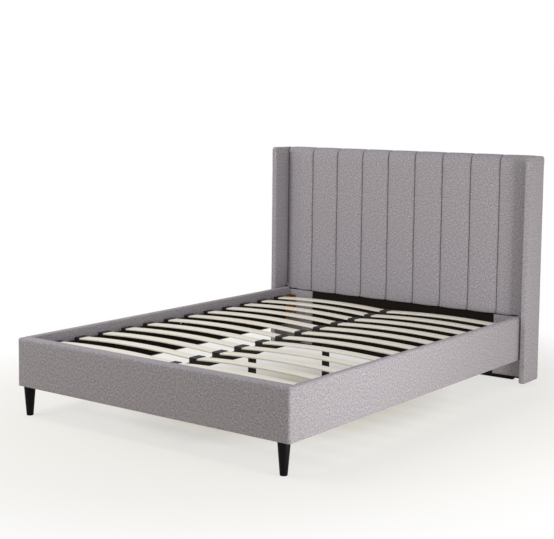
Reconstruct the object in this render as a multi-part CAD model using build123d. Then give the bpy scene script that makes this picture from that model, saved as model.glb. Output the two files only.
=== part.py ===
from build123d import *

import os

# Winged, channel-backed bed frame with sprung slats on a centre beam.
# Lengths are in millimetres. X runs across the bed, Y from the foot to the head, Z up.
# Inside this file Y is counted from the front of the footboard, and each finished
# piece is moved so that the origin is on the floor under the middle of the bed.

# Overall frame
RAIL_SPAN = 1580.0            # outside to outside of the padded side rails
INNER_LENGTH = 2055.0         # footboard to headboard, for a mattress 2000 long
LEG_HEIGHT = 140.0            # floor to the underside of rails and footboard
RAIL_HEIGHT = 227.0
OVERRUN = 5.0                 # how far a cutting body runs past the face it cuts
FIT_CLEARANCE = 0.2           # round a shank, peg or insert
SOFT_GAP = 0.3                # between neighbouring padded pieces

# Side rails: a board in a padded cover that is open below
RAIL_THICKNESS = 32.0
RAIL_PADDING = 5.0
RAIL_EDGE_RADIUS = 8.0

# Footboard: a thicker board, padded on its faces, top and ends
FOOTBOARD_THICKNESS = 62.0
FOOTBOARD_PADDING = 11.0
FOOTBOARD_EDGE_RADIUS = 9.0

# Headboard, its layers from the front to the back
HEADBOARD_HEIGHT = 1210.0
HEADBOARD_GROUND_GAP = 20.0   # floor to the underside of headboard and wings
LOWER_PAD_THICKNESS = 12.0
LOWER_BOARD_THICKNESS = 23.0
PANEL_THICKNESS = 9.0
TIMBER_THICKNESS = 28.0
BACK_COVER_THICKNESS = 3.0
TOP_PAD_THICKNESS = 20.0
CHANNEL_FOOT_DROP = 13.0      # from the top of the rails down to the lower end of the channels
PANEL_TO_PAD_SEAM = 2.0       # groove between the channels and the lower pads

# Channels of the headboard
CHANNEL_PITCH = 173.6         # seam to seam, the two end channels take what is left
CHANNEL_CROWN = 4.0
CHANNEL_ROLL = 10.0           # radius that rolls each channel into its seam
CHANNEL_TOP_RADIUS = 42.0
CHANNEL_FOOT_RADIUS = 6.0

# Timber frame of the headboard
STILE_WIDTH = 40.0
MIDDLE_STILE_OFFSET = 270.0   # from the centre line to the middle of a middle stile
TOP_TIMBER_HEIGHT = 40.0
BOTTOM_TIMBER_HEIGHT = 80.0
RUNNER_INSET = 100.0          # from a wing to the end of the floor runner

# Lower face of the headboard: padded at both ends, black cloth between them
LOWER_PAD_WIDTH = 203.0
LINING_THICKNESS = 2.0
LINING_HEM = 8.0              # black strip that shows under the lower pads
LOWER_PAD_EDGE_RADIUS = 4.0

# Wings
WING_THICKNESS = 32.0
WING_DEPTH = 172.0
WING_PADDING = 6.0
WING_GAP = 10.0               # between a side rail and its wing
WING_EDGE_RADIUS = 7.0
WING_CORNER_RADIUS = 15.0

# Sprung slats, in two columns
SLAT_PITCH = 162.0
SLAT_WIDTH = 60.0
SLAT_THICKNESS = 8.0
SLAT_BOW = 12.0               # rise of the middle over the ends
SLAT_DROP = 55.0              # from the top of the rails down to the underside of the slat ends
FIRST_SLAT_INSET = 115.0      # from the footboard to the first slat
SLAT_END_PLAY = 1.0

# Slat holders
HOLDER_WALL = 4.0
HOLDER_ROOF = 3.0
HOLDER_FLOOR = 3.0
SIDE_HOLDER_LENGTH = 28.0
CENTRE_HOLDER_LENGTH = 42.0
HOLDER_EDGE_RADIUS = 2.0
PEG_RADIUS = 4.0
PEG_LENGTH = 10.0

# Ledgers that carry the side holders
LEDGER_THICKNESS = 25.0
LEDGER_HEIGHT = 40.0
LEDGER_SCREW_COUNT = 5

# Centre beam, its hangers and legs
BEAM_WIDTH = 40.0
BEAM_HEIGHT = 28.0
BEAM_WALL = 1.5
CENTRE_HOLDER_FLOOR = 12.0    # holder material between the beam and the slat ends
HANGER_METAL = 3.0
HANGER_SEAT_LENGTH = 35.0
HANGER_PLATE_WIDTH = 78.0
HANGER_PLATE_HEIGHT = 46.0
CENTRE_LEG_WIDTH = 28.0
CENTRE_LEG_WALL = 2.0
CENTRE_LEG_SHARES = (0.3465, 0.6506)  # of the inner length, from the footboard
CENTRE_LEG_PLATE_LENGTH = 84.0
CENTRE_LEG_PLATE_WIDTH = 36.0
FOOT_CAP_RIM = 2.5            # of a foot cap beyond the tube
FOOT_CAP_HEIGHT = 12.0
FOOT_INSERT_HEIGHT = 18.0

# Tapered front legs
LEG_TOP_RADIUS = 27.5
LEG_FOOT_RADIUS = 16.0
LEG_SIDE_INSET = 49.0
LEG_FOOT_CHAMFER = 1.5
STUD_RADIUS = 4.0
STUD_IN_LEG = 25.0
STUD_IN_BOARD = 38.0

# Corner brackets
BRACKET_LEG = 45.0
BRACKET_METAL = 3.0
BRACKET_HEIGHT = 140.0
BRACKET_DROP = 47.0           # from the top of the rails down to the top of a bracket
BRACKET_HOLE_INSET = 26.0     # from the inner faces of a bracket to its bolts
BRACKET_HOLE_SPACING = 84.0

# Dust lining on the inner faces, below the ledgers
SIDE_LINING_THICKNESS = 1.5
SIDE_LINING_MARGIN = 5.0      # above the lower edge of a rail

# Fasteners
BOLT_RADIUS = 4.0
BOLT_HEAD_RADIUS = 8.0
BOLT_HEAD_HEIGHT = 4.0
BOLT_GRIP = 16.0              # of a bolt in the board that it enters
SCREW_RADIUS = 2.5
SCREW_HEAD_RADIUS = 5.0
SCREW_HEAD_HEIGHT = 2.5
SCREW_GRIP = 12.0
HANGER_SCREW_OFFSET = 31.0    # from the centre line
LEG_SCREW_OFFSET = 32.0       # from the middle of a centre leg
LEG_SCREW_LENGTH = 8.0
WING_SCREW_INSET = 180.0      # from the ends of a stile to its outermost screws
WING_SCREW_COUNT = 3

# Places worked out from the sizes above
SIDES = {"left": -1, "right": 1}
rail_outer = RAIL_SPAN / 2
rail_inner = rail_outer - RAIL_THICKNESS
rail_top = LEG_HEIGHT + RAIL_HEIGHT
channel_foot = rail_top - CHANNEL_FOOT_DROP
foot_inner = FOOTBOARD_THICKNESS
pad_face = foot_inner + INNER_LENGTH
lower_board_face = pad_face + LOWER_PAD_THICKNESS
lining_face = lower_board_face - LINING_THICKNESS
panel_face = lower_board_face + LOWER_BOARD_THICKNESS
timber_face = panel_face + PANEL_THICKNESS
back_cover_face = timber_face + TIMBER_THICKNESS
overall_length = back_cover_face + BACK_COVER_THICKNESS
wing_inner = rail_outer + WING_GAP
wing_outer = wing_inner + WING_THICKNESS
wing_front = overall_length - WING_DEPTH
timber_top = HEADBOARD_HEIGHT - TOP_PAD_THICKNESS
pad_inner_edge = wing_inner - LOWER_PAD_WIDTH

slat_low = rail_top - SLAT_DROP
slat_top = slat_low + SLAT_THICKNESS
holder_top = slat_top + HOLDER_ROOF
bracket_top = rail_top - BRACKET_DROP
bracket_low = bracket_top - BRACKET_HEIGHT
ledger_top = slat_low - HOLDER_FLOOR
ledger_low = ledger_top - LEDGER_HEIGHT
ledger_inner = rail_inner - LEDGER_THICKNESS
ledger_middle = rail_inner - LEDGER_THICKNESS / 2
ledger_start = foot_inner + BRACKET_LEG + SLAT_END_PLAY
ledger_end = pad_face - BRACKET_LEG - SLAT_END_PLAY
beam_top = slat_low - CENTRE_HOLDER_FLOOR
beam_bottom = beam_top - BEAM_HEIGHT
leg_plate_low = beam_bottom - HANGER_METAL
slat_outer_end = rail_inner - HOLDER_WALL - SLAT_END_PLAY
slat_inner_end = HOLDER_WALL / 2 + SLAT_END_PLAY
bow_start = CENTRE_HOLDER_LENGTH / 2
bow_end = rail_inner - SIDE_HOLDER_LENGTH
centre_leg_places = [foot_inner + share * INNER_LENGTH for share in CENTRE_LEG_SHARES]
leg_x = rail_outer - LEG_SIDE_INSET
leg_y = FOOTBOARD_THICKNESS / 2

# As many slats as the ledgers have room for
first_slat = foot_inner + FIRST_SLAT_INSET
slat_room = ledger_end - HOLDER_WALL - SLAT_WIDTH - first_slat
slat_count = 1 + int(slat_room // SLAT_PITCH)
slat_places = [first_slat + row * SLAT_PITCH for row in range(slat_count)]

# Seams between the channels, from the left wing to the right one
seams_each_side = int(wing_inner // CHANNEL_PITCH)
inner_seams = [(index + 1 / 2) * CHANNEL_PITCH for index in range(-seams_each_side, seams_each_side)]
channel_edges = [-wing_inner] + inner_seams + [wing_inner]


def block(x_range, y_range, z_range):
    """A box between pairs of coordinates."""
    spans = [high - low for low, high in (x_range, y_range, z_range)]
    centre = [(low + high) / 2 for low, high in (x_range, y_range, z_range)]
    return Pos(*centre) * Box(*spans)


def side_range(side, inner, outer):
    """The X range of a piece that lies from inner to outer on one side of the bed."""
    return tuple(sorted((side * inner, side * outer)))


def across_bed(outline, start, end):
    """A closed outline drawn in Y and Z, extruded along X from start to end."""
    plane = Plane(origin=(start, 0, 0), x_dir=(0, 1, 0), z_dir=(1, 0, 0))
    return extrude(plane * make_face(outline), amount=end - start)


def along_bed(outline, start, end):
    """A closed outline drawn in X and Z, extruded along Y from start to end."""
    plane = Plane(origin=(0, end, 0), x_dir=(1, 0, 0), z_dir=(0, -1, 0))
    return extrude(plane * make_face(outline), amount=end - start)


def upwards(outline, start, end):
    """A closed outline drawn in X and Y, extruded along Z from start to end."""
    plane = Plane(origin=(0, 0, start))
    return extrude(plane * make_face(outline), amount=end - start)


def rod(start, direction, length, radius):
    """A round bar that starts at a point and runs along a direction."""
    plane = Plane(origin=start, z_dir=direction)
    return extrude(plane * Circle(radius), amount=length)


def fastener(seat, direction, length, radius, head_radius, head_height):
    """A domed bolt or screw: its head stands on the seat and its shank enters along the direction."""
    back = tuple(-value for value in direction)
    head = rod(seat, back, head_height, head_radius)
    rim = head.edges().filter_by(GeomType.CIRCLE).sort_by_distance(Vector(*seat))[-1]
    head = fillet(rim, head_height / 2)
    return head + rod(seat, direction, length, radius)


def bolt(seat, direction, length):
    """One bolt of the corner brackets."""
    return fastener(seat, direction, length, BOLT_RADIUS, BOLT_HEAD_RADIUS, BOLT_HEAD_HEIGHT)


def screw(seat, direction, length):
    """One wood screw."""
    return fastener(seat, direction, length, SCREW_RADIUS, SCREW_HEAD_RADIUS, SCREW_HEAD_HEIGHT)


def drilled(solid, places, radius):
    """The solid with a clearance hole for each (start, direction, length) of a shank."""
    for start, direction, length in places:
        back = Vector(*start) - Vector(*direction) * FIT_CLEARANCE
        solid = solid - rod(back, direction, length + 2 * FIT_CLEARANCE, radius + FIT_CLEARANCE)
    return solid


# Where the fasteners go. Each list holds the seat, the direction and the length of a shank.


def bracket_bolt_heights():
    """The two bolt heights of a corner bracket."""
    middle = (bracket_low + bracket_top) / 2
    return (middle - BRACKET_HOLE_SPACING / 2, middle + BRACKET_HOLE_SPACING / 2)


def rail_bolts(side):
    """Bolts from the corner brackets into one side rail."""
    places = []
    length = BRACKET_METAL + RAIL_PADDING + BOLT_GRIP
    for y in (foot_inner + BRACKET_HOLE_INSET, pad_face - BRACKET_HOLE_INSET):
        for z in bracket_bolt_heights():
            seat = (side * (rail_inner - BRACKET_METAL), y, z)
            places.append((seat, (side, 0, 0), length))
    return places


def footboard_bolts():
    """Bolts from the front brackets into the footboard."""
    places = []
    length = BRACKET_METAL + FOOTBOARD_PADDING + BOLT_GRIP
    for side in SIDES.values():
        for z in bracket_bolt_heights():
            seat = (side * (rail_inner - BRACKET_HOLE_INSET), foot_inner + BRACKET_METAL, z)
            places.append((seat, (0, -1, 0), length))
    return places


def headboard_bolts():
    """Bolts from the rear brackets into the lower board of the headboard."""
    places = []
    length = BRACKET_METAL + LOWER_PAD_THICKNESS + BOLT_GRIP
    for side in SIDES.values():
        for z in bracket_bolt_heights():
            seat = (side * (rail_inner - BRACKET_HOLE_INSET), pad_face - BRACKET_METAL, z)
            places.append((seat, (0, 1, 0), length))
    return places


def ledger_screws(side):
    """Screws that hold one ledger to its side rail."""
    length = LEDGER_THICKNESS + RAIL_PADDING + SCREW_GRIP
    step = (ledger_end - ledger_start) / LEDGER_SCREW_COUNT
    places = []
    for index in range(LEDGER_SCREW_COUNT):
        y = ledger_start + (index + 1 / 2) * step
        seat = (side * ledger_inner, y, (ledger_low + ledger_top) / 2)
        places.append((seat, (side, 0, 0), length))
    return places


def front_hanger_screws():
    """Screws through the front beam hanger into the footboard."""
    length = HANGER_METAL + FOOTBOARD_PADDING + SCREW_GRIP
    z = beam_top - BEAM_HEIGHT / 2
    return [((side * HANGER_SCREW_OFFSET, foot_inner + HANGER_METAL, z), (0, -1, 0), length)
            for side in SIDES.values()]


def rear_hanger_screws():
    """Screws through the rear beam hanger into the lower board of the headboard."""
    length = HANGER_METAL + LINING_THICKNESS + SCREW_GRIP
    z = beam_top - BEAM_HEIGHT / 2
    return [((side * HANGER_SCREW_OFFSET, lining_face - HANGER_METAL, z), (0, 1, 0), length)
            for side in SIDES.values()]


def centre_leg_screws():
    """Screws up through the plates of the centre legs into the beam."""
    places = []
    for middle in centre_leg_places:
        for side in SIDES.values():
            seat = (0, middle + side * LEG_SCREW_OFFSET, leg_plate_low)
            places.append((seat, (0, 0, 1), LEG_SCREW_LENGTH))
    return places


def wing_screws(side):
    """Screws from an end stile of the headboard into its wing."""
    length = STILE_WIDTH + WING_PADDING + SCREW_GRIP
    y = timber_face + TIMBER_THICKNESS / 2
    lowest = HEADBOARD_GROUND_GAP + WING_SCREW_INSET
    step = (timber_top - WING_SCREW_INSET - lowest) / (WING_SCREW_COUNT - 1)
    return [((side * (wing_inner - STILE_WIDTH), y, lowest + index * step), (side, 0, 0), length)
            for index in range(WING_SCREW_COUNT)]


def leg_studs():
    """Studs that join the front legs to the footboard, from their lower ends up."""
    start = LEG_HEIGHT - STUD_IN_LEG
    return [((side * leg_x, leg_y, start), (0, 0, 1), STUD_IN_LEG + STUD_IN_BOARD)
            for side in SIDES.values()]


def holder_pegs(x):
    """Pegs under a row of slat holders, from their roots down."""
    root = beam_top if x == 0 else ledger_top
    return [((x, place + SLAT_WIDTH / 2, root), (0, 0, -1), PEG_LENGTH) for place in slat_places]


# Footboard and side rails


def footboard_board():
    """The board inside the footboard, open to the floor."""
    reach = rail_outer - FOOTBOARD_PADDING
    depth = (FOOTBOARD_PADDING, foot_inner - FOOTBOARD_PADDING)
    body = block((-reach, reach), depth, (LEG_HEIGHT, rail_top - FOOTBOARD_PADDING))
    body = drilled(body, footboard_bolts(), BOLT_RADIUS)
    body = drilled(body, front_hanger_screws(), SCREW_RADIUS)
    return drilled(body, leg_studs(), STUD_RADIUS)


def footboard_cover():
    """Padded cover of the footboard: front, back, top and both ends."""
    outer = block((-rail_outer, rail_outer), (0, foot_inner), (LEG_HEIGHT, rail_top))
    front_corners = outer.edges().filter_by(Axis.Z).group_by(Axis.Y)[0]
    rims = front_corners + outer.faces().sort_by(Axis.Z)[-1].edges()
    outer = fillet(rims, FOOTBOARD_EDGE_RADIUS)
    reach = rail_outer - FOOTBOARD_PADDING
    depth = (FOOTBOARD_PADDING, foot_inner - FOOTBOARD_PADDING)
    core = block((-reach, reach), depth, (LEG_HEIGHT - OVERRUN, rail_top - FOOTBOARD_PADDING))
    body = drilled(outer - core, footboard_bolts(), BOLT_RADIUS)
    return drilled(body, front_hanger_screws(), SCREW_RADIUS)


def side_rail_board(side):
    """The board inside one side rail."""
    x_range = side_range(side, rail_inner + RAIL_PADDING, rail_outer - RAIL_PADDING)
    body = block(x_range, (foot_inner, pad_face), (LEG_HEIGHT, rail_top - RAIL_PADDING))
    body = drilled(body, rail_bolts(side), BOLT_RADIUS)
    return drilled(body, ledger_screws(side), SCREW_RADIUS)


def side_rail_cover(side):
    """Padded cover of one side rail, folded over the top of its board."""
    outer = block(side_range(side, rail_inner, rail_outer), (foot_inner, pad_face), (LEG_HEIGHT, rail_top))
    rims = outer.faces().sort_by(Axis.Z)[-1].edges().filter_by(Axis.Y)
    outer = fillet(rims, RAIL_EDGE_RADIUS)
    x_range = side_range(side, rail_inner + RAIL_PADDING, rail_outer - RAIL_PADDING)
    y_range = (foot_inner - OVERRUN, pad_face + OVERRUN)
    core = block(x_range, y_range, (LEG_HEIGHT - OVERRUN, rail_top - RAIL_PADDING))
    body = drilled(outer - core, rail_bolts(side), BOLT_RADIUS)
    return drilled(body, ledger_screws(side), SCREW_RADIUS)


def slat_ledgers():
    """The two battens that carry the side holders."""
    battens = []
    for side in SIDES.values():
        x_range = side_range(side, ledger_inner, rail_inner)
        batten = block(x_range, (ledger_start, ledger_end), (ledger_low, ledger_top))
        batten = drilled(batten, ledger_screws(side), SCREW_RADIUS)
        battens.append(drilled(batten, holder_pegs(side * ledger_middle), PEG_RADIUS))
    return battens


# Slats and their holders


def slat(side, place):
    """One sprung slat, flat inside its holders and bowed up between them."""
    start, middle, end = (side * x for x in (bow_start, (bow_start + bow_end) / 2, bow_end))
    inner_tip, outer_tip = (side * x for x in (slat_inner_end, slat_outer_end))
    low, top = slat_low, slat_top
    outline = (
        Polyline((start, top), (inner_tip, top), (inner_tip, low), (start, low))
        + ThreePointArc((start, low), (middle, low + SLAT_BOW), (end, low))
        + Polyline((end, low), (outer_tip, low), (outer_tip, top), (end, top))
        + ThreePointArc((end, top), (middle, top + SLAT_BOW), (start, top))
    )
    return along_bed(outline, place, place + SLAT_WIDTH)


def pocket(x_range, place):
    """The slot that a slat end lies in."""
    y_range = (place - FIT_CLEARANCE, place + SLAT_WIDTH + FIT_CLEARANCE)
    return block(x_range, y_range, (slat_low, slat_top + FIT_CLEARANCE))


def holder_range(place):
    """The Y range of the holder of the slat at a place."""
    return (place - HOLDER_WALL, place + SLAT_WIDTH + HOLDER_WALL)


def softened(body):
    """A holder body with its upper and upright edges rounded."""
    rims = body.edges().filter_by(Axis.Z) + body.faces().sort_by(Axis.Z)[-1].edges()
    return fillet(rims, HOLDER_EDGE_RADIUS)


def side_holder(side, place):
    """A holder on a ledger, open towards the middle of the bed, with its peg."""
    body = block(side_range(side, bow_end, rail_inner), holder_range(place), (ledger_top, holder_top))
    body = softened(body)
    slot = pocket(side_range(side, bow_end - OVERRUN, rail_inner - HOLDER_WALL), place)
    peg = rod((side * ledger_middle, place + SLAT_WIDTH / 2, ledger_top), (0, 0, -1), PEG_LENGTH, PEG_RADIUS)
    return body - slot + peg


def centre_holder(place):
    """A double holder on the centre beam that takes a slat end from each side, with its peg."""
    body = softened(block((-bow_start, bow_start), holder_range(place), (beam_top, holder_top)))
    for side in SIDES.values():
        body = body - pocket(side_range(side, HOLDER_WALL / 2, bow_start + OVERRUN), place)
    return body + rod((0, place + SLAT_WIDTH / 2, beam_top), (0, 0, -1), PEG_LENGTH, PEG_RADIUS)


def side_holders():
    """All the holders on the two ledgers."""
    return [side_holder(side, place) for side in SIDES.values() for place in slat_places]


def centre_holders():
    """All the double holders on the beam."""
    return [centre_holder(place) for place in slat_places]


# Centre beam and its legs


def centre_beam():
    """Rectangular steel tube under the middle of the slats."""
    y_range = (foot_inner + HANGER_METAL + SLAT_END_PLAY, lining_face - HANGER_METAL - SLAT_END_PLAY)
    bore_range = (foot_inner - OVERRUN, lining_face + OVERRUN)
    reach = BEAM_WIDTH / 2
    body = block((-reach, reach), y_range, (beam_bottom, beam_top))
    reach = reach - BEAM_WALL
    body = body - block((-reach, reach), bore_range, (beam_bottom + BEAM_WALL, beam_top - BEAM_WALL))
    body = drilled(body, holder_pegs(0), PEG_RADIUS)
    return drilled(body, centre_leg_screws(), SCREW_RADIUS)


def beam_hanger(wall, direction):
    """A steel cradle on an end board: direction points from the wall along the beam."""
    reach = HANGER_PLATE_WIDTH / 2
    half_height = HANGER_PLATE_HEIGHT / 2
    middle = beam_top - BEAM_HEIGHT / 2
    plate_range = tuple(sorted((wall, wall + direction * HANGER_METAL)))
    seat_range = tuple(sorted((wall, wall + direction * HANGER_SEAT_LENGTH)))
    body = block((-reach, reach), plate_range, (middle - half_height, middle + half_height))
    seat_inner = BEAM_WIDTH / 2 + FIT_CLEARANCE
    seat_outer = seat_inner + HANGER_METAL
    seat_low = beam_bottom - HANGER_METAL
    body = body + block((-seat_outer, seat_outer), seat_range, (seat_low, beam_bottom))
    for side in SIDES.values():
        body = body + block(side_range(side, seat_inner, seat_outer), seat_range, (seat_low, beam_top))
    return body


def beam_hangers():
    """The hangers at the foot and at the head."""
    front = drilled(beam_hanger(foot_inner, 1), front_hanger_screws(), SCREW_RADIUS)
    rear = drilled(beam_hanger(lining_face, -1), rear_hanger_screws(), SCREW_RADIUS)
    return [front, rear]


def centre_leg(middle):
    """A square tube leg welded to the plate that screws to the beam."""
    reach = CENTRE_LEG_WIDTH / 2
    bore = reach - CENTRE_LEG_WALL
    bore_heights = (FOOT_CAP_HEIGHT - OVERRUN, leg_plate_low)
    tube = block((-reach, reach), (middle - reach, middle + reach), (FOOT_CAP_HEIGHT, leg_plate_low))
    tube = tube - block((-bore, bore), (middle - bore, middle + bore), bore_heights)
    half_width = CENTRE_LEG_PLATE_WIDTH / 2
    half_length = CENTRE_LEG_PLATE_LENGTH / 2
    plate = block((-half_width, half_width), (middle - half_length, middle + half_length),
                  (leg_plate_low, beam_bottom))
    return drilled(tube + plate, centre_leg_screws(), SCREW_RADIUS)


def centre_leg_foot(middle):
    """A plastic cap under a centre leg, with the insert that holds it in the tube."""
    reach = CENTRE_LEG_WIDTH / 2 + FOOT_CAP_RIM
    cap = block((-reach, reach), (middle - reach, middle + reach), (0, FOOT_CAP_HEIGHT))
    cap = fillet(cap.edges().filter_by(Axis.Z), HOLDER_EDGE_RADIUS)
    reach = CENTRE_LEG_WIDTH / 2 - CENTRE_LEG_WALL - FIT_CLEARANCE
    insert_top = FOOT_CAP_HEIGHT + FOOT_INSERT_HEIGHT
    return cap + block((-reach, reach), (middle - reach, middle + reach), (FOOT_CAP_HEIGHT, insert_top))


def front_leg(side):
    """A round tapered leg under one end of the footboard."""
    place = (side * leg_x, leg_y, LEG_HEIGHT / 2)
    body = Pos(*place) * Cone(LEG_FOOT_RADIUS, LEG_TOP_RADIUS, LEG_HEIGHT)
    body = chamfer(body.edges().sort_by(Axis.Z)[0], LEG_FOOT_CHAMFER)
    return drilled(body, leg_studs(), STUD_RADIUS)


# Brackets and fasteners


def corner_bracket(side, wall, direction):
    """A steel angle in the corner of a rail and an end board: direction points from the wall inwards."""
    z_range = (bracket_low, bracket_top)
    along = block(side_range(side, rail_inner - BRACKET_METAL, rail_inner),
                  tuple(sorted((wall, wall + direction * BRACKET_LEG))), z_range)
    across = block(side_range(side, rail_inner - BRACKET_LEG, rail_inner),
                   tuple(sorted((wall, wall + direction * BRACKET_METAL))), z_range)
    return along + across


def corner_brackets():
    """The four angles that join the rails to the footboard and to the headboard."""
    brackets = []
    ends = ((foot_inner, 1, footboard_bolts()), (pad_face, -1, headboard_bolts()))
    for side in SIDES.values():
        for wall, direction, end_bolts in ends:
            angle = corner_bracket(side, wall, direction)
            angle = drilled(angle, rail_bolts(side), BOLT_RADIUS)
            brackets.append(drilled(angle, end_bolts, BOLT_RADIUS))
    return brackets


def frame_bolts():
    """Every bolt, screw and stud of the frame."""
    bolts = footboard_bolts() + headboard_bolts()
    screws = front_hanger_screws() + rear_hanger_screws() + centre_leg_screws()
    for side in SIDES.values():
        bolts = bolts + rail_bolts(side)
        screws = screws + ledger_screws(side) + wing_screws(side)
    fasteners = [bolt(*place) for place in bolts] + [screw(*place) for place in screws]
    return fasteners + [rod(*place, STUD_RADIUS) for place in leg_studs()]


# Headboard


def channel(left, right):
    """One vertical channel: crowned, rolled into its seams and turned over the top of the headboard."""
    left = left + SOFT_GAP / 2
    right = right - SOFT_GAP / 2
    middle = (left + right) / 2
    shoulder = pad_face + CHANNEL_CROWN
    plan = (
        Polyline((left, shoulder), (left, back_cover_face), (right, back_cover_face), (right, shoulder))
        + ThreePointArc((left, shoulder), (middle, pad_face), (right, shoulder))
    )
    tall = upwards(plan, channel_foot, HEADBOARD_HEIGHT)
    corners = tall.edges().filter_by(Axis.Z).group_by(Axis.Y)[0]
    tall = fillet(corners, CHANNEL_ROLL)

    low = channel_foot
    high = HEADBOARD_HEIGHT
    roll = CHANNEL_TOP_RADIUS
    foot_roll = CHANNEL_FOOT_RADIUS
    diagonal_share = 1 - 2 ** (1 / 2) / 2
    roll_step = diagonal_share * roll
    foot_step = diagonal_share * foot_roll
    profile = (
        Line((pad_face, low + foot_roll), (pad_face, high - roll))
        + ThreePointArc((pad_face, high - roll), (pad_face + roll_step, high - roll_step),
                        (pad_face + roll, high))
        + Polyline((pad_face + roll, high), (back_cover_face, high), (back_cover_face, timber_top),
                   (panel_face, timber_top), (panel_face, low), (pad_face + foot_roll, low))
        + ThreePointArc((pad_face + foot_roll, low), (pad_face + foot_step, low + foot_step),
                        (pad_face, low + foot_roll))
    )
    section = across_bed(profile, left - OVERRUN, right + OVERRUN)

    crown_start = HEADBOARD_HEIGHT - CHANNEL_CROWN
    front = (
        Polyline((left, crown_start), (left, 0), (right, 0), (right, crown_start))
        + ThreePointArc((right, crown_start), (middle, HEADBOARD_HEIGHT), (left, crown_start))
    )
    crowned = along_bed(front, pad_face - OVERRUN, overall_length)
    top_corners = crowned.edges().filter_by(Axis.Y).group_by(Axis.Z)[-1]
    crowned = fillet(top_corners, CHANNEL_ROLL)
    return tall & section & crowned


def headboard_panel():
    """Thin sheet behind the channels."""
    return block((-wing_inner, wing_inner), (panel_face, timber_face), (HEADBOARD_GROUND_GAP, timber_top))


def headboard_lower_board():
    """Thick board across the headboard that the rails and the beam are fixed to."""
    body = block((-wing_inner, wing_inner), (lower_board_face, panel_face),
                 (HEADBOARD_GROUND_GAP, channel_foot))
    body = drilled(body, headboard_bolts(), BOLT_RADIUS)
    return drilled(body, rear_hanger_screws(), SCREW_RADIUS)


def headboard_timbers():
    """Stiles and cross pieces behind the panel."""
    y_range = (timber_face, back_cover_face)
    low = HEADBOARD_GROUND_GAP
    inner = MIDDLE_STILE_OFFSET - STILE_WIDTH / 2
    outer = MIDDLE_STILE_OFFSET + STILE_WIDTH / 2
    end = wing_inner - STILE_WIDTH
    timbers = []
    bays = [(-inner, inner)]
    for side in SIDES.values():
        end_stile = block(side_range(side, end, wing_inner), y_range, (low, timber_top))
        timbers.append(drilled(end_stile, wing_screws(side), SCREW_RADIUS))
        timbers.append(block(side_range(side, inner, outer), y_range, (low, timber_top)))
        bays.append(side_range(side, outer, end))
    for bay in bays:
        timbers.append(block(bay, y_range, (timber_top - TOP_TIMBER_HEIGHT, timber_top)))
        timbers.append(block(bay, y_range, (low, low + BOTTOM_TIMBER_HEIGHT)))
    return timbers


def headboard_back_cover():
    """Fabric stretched over the back of the headboard."""
    return block((-wing_inner, wing_inner), (back_cover_face, overall_length),
                 (HEADBOARD_GROUND_GAP, HEADBOARD_HEIGHT - CHANNEL_CROWN - CHANNEL_ROLL))


def headboard_lower_pads():
    """Plain padded pieces at both ends of the lower board."""
    pads = []
    for side in SIDES.values():
        pad = block(side_range(side, pad_inner_edge, wing_inner - SOFT_GAP), (pad_face, lower_board_face),
                    (HEADBOARD_GROUND_GAP + LINING_HEM, channel_foot - PANEL_TO_PAD_SEAM))
        front_edges = pad.faces().sort_by(Axis.Y)[0].edges()
        pad = fillet(front_edges, LOWER_PAD_EDGE_RADIUS)
        pads.append(drilled(pad, headboard_bolts(), BOLT_RADIUS))
    return pads


def headboard_lining():
    """Black cloth between the lower pads, with the hem that shows under them."""
    low = HEADBOARD_GROUND_GAP
    hem = low + LINING_HEM
    inner = pad_inner_edge
    top = channel_foot - PANEL_TO_PAD_SEAM
    outline = Polyline((-wing_inner, low), (wing_inner, low), (wing_inner, hem), (inner, hem), (inner, top),
                       (-inner, top), (-inner, hem), (-wing_inner, hem), (-wing_inner, low))
    cloth = along_bed(outline, lining_face, lower_board_face)
    return drilled(cloth, rear_hanger_screws(), SCREW_RADIUS)


def dust_linings():
    """Black cloth on the headboard and on the inner faces of the rails, below the ledgers."""
    low = LEG_HEIGHT + SIDE_LINING_MARGIN
    cloths = [headboard_lining()]
    for side in SIDES.values():
        x_range = side_range(side, rail_inner - SIDE_LINING_THICKNESS, rail_inner)
        cloths.append(block(x_range, (ledger_start, ledger_end), (low, ledger_low)))
    reach = rail_inner - BRACKET_LEG - SLAT_END_PLAY
    cloths.append(block((-reach, reach), (foot_inner, foot_inner + SIDE_LINING_THICKNESS),
                        (low, beam_bottom - HANGER_PLATE_HEIGHT / 2)))
    return cloths


def headboard_runner():
    """Black runner that the headboard stands on."""
    reach = wing_inner - RUNNER_INSET
    body = block((-reach, reach), (timber_face, back_cover_face), (0, HEADBOARD_GROUND_GAP))
    return chamfer(body.edges().filter_by(Axis.X).group_by(Axis.Z)[0], LEG_FOOT_CHAMFER)


# Wings


def wing_board(side):
    """The board inside one wing."""
    x_range = side_range(side, wing_inner + WING_PADDING, wing_outer - WING_PADDING)
    y_range = (wing_front + WING_PADDING, overall_length - WING_PADDING)
    body = block(x_range, y_range, (HEADBOARD_GROUND_GAP, HEADBOARD_HEIGHT - WING_PADDING))
    return drilled(body, wing_screws(side), SCREW_RADIUS)


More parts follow.
